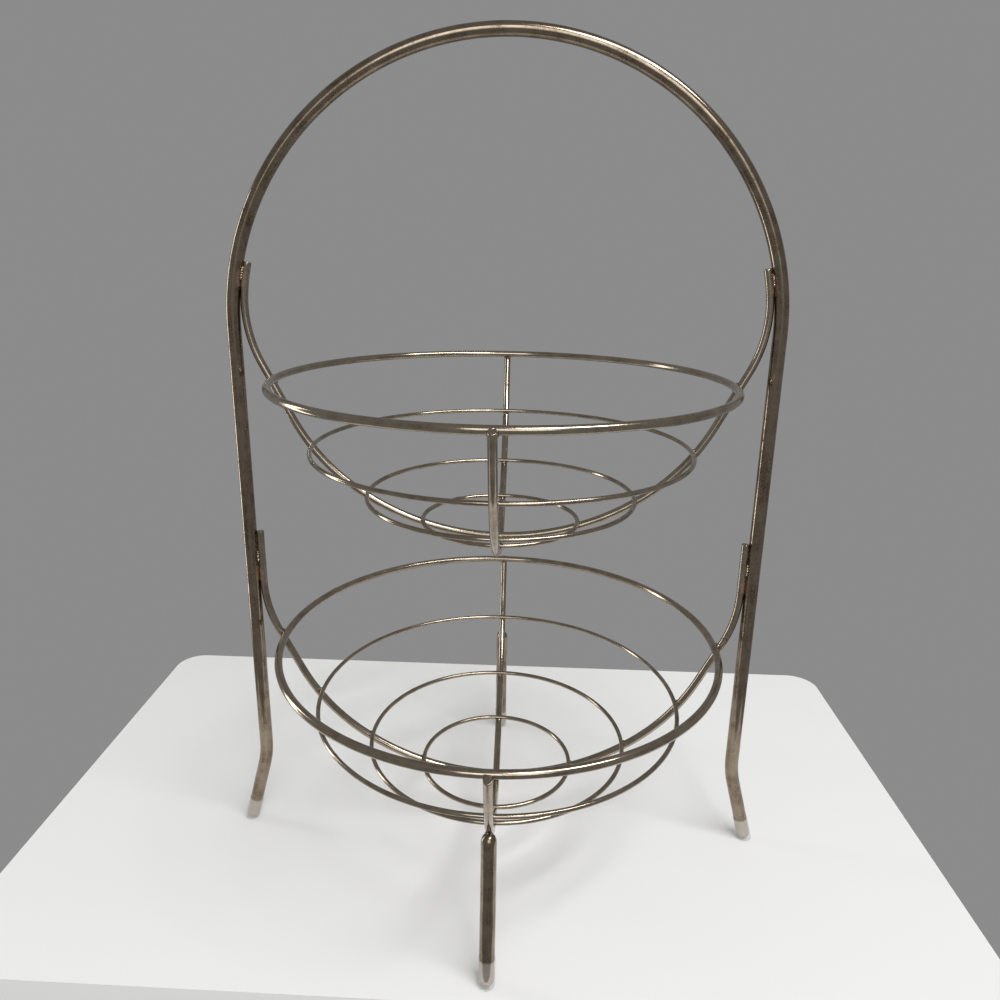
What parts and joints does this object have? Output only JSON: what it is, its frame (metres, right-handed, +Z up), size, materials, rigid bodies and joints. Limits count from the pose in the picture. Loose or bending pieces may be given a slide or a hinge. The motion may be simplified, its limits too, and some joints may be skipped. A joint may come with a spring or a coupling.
{
  "type": "tiered wire basket",
  "caption": "Free-standing two-tier basket of welded plated wire: round open bowls, one above the other, inside a tall arched hoop of rod, on capped feet.",
  "frame": {"origin": "on the floor under the middle of the hoop, at the centre of the base of the bounding box", "axes": "+Z up; the hoop stands in the XZ plane, left and right feet on -X and +X; the front short leg is towards -Y"},
  "size_m": [0.3268, 0.274, 0.481],
  "materials": {
    "plated_rod": "satin nickel-coloured plating with a warm grey tarnish and fine mottling",
    "plated_wire": "satin nickel-coloured plating, darker and warmer at the welds",
    "clear_cap": "clear soft plastic, slightly hazy",
    "weld_metal": "rough weld bead, tarnished brown with rust at its edge"
  },
  "bodies": {
    "root": {"front_foot_cap": "clear_cap", "front_leg": "plated_rod", "hoop_welds": "weld_metal", "left_foot_cap": "clear_cap", "leg_welds": "weld_metal", "lower_cross_rib": "plated_wire", "lower_inner_ring": "plated_wire", "lower_long_rib": "plated_wire", "lower_middle_ring": "plated_wire", "lower_outer_ring": "plated_wire", "lower_rim": "plated_wire", "main_hoop": "plated_rod", "rear_foot_cap": "clear_cap", "rear_leg": "plated_rod", "right_foot_cap": "clear_cap", "upper_cross_rib": "plated_wire", "upper_inner_ring": "plated_wire", "upper_long_rib": "plated_wire", "upper_middle_ring": "plated_wire", "upper_outer_ring": "plated_wire", "upper_rim": "plated_wire"}
  },
  "joints": []
}
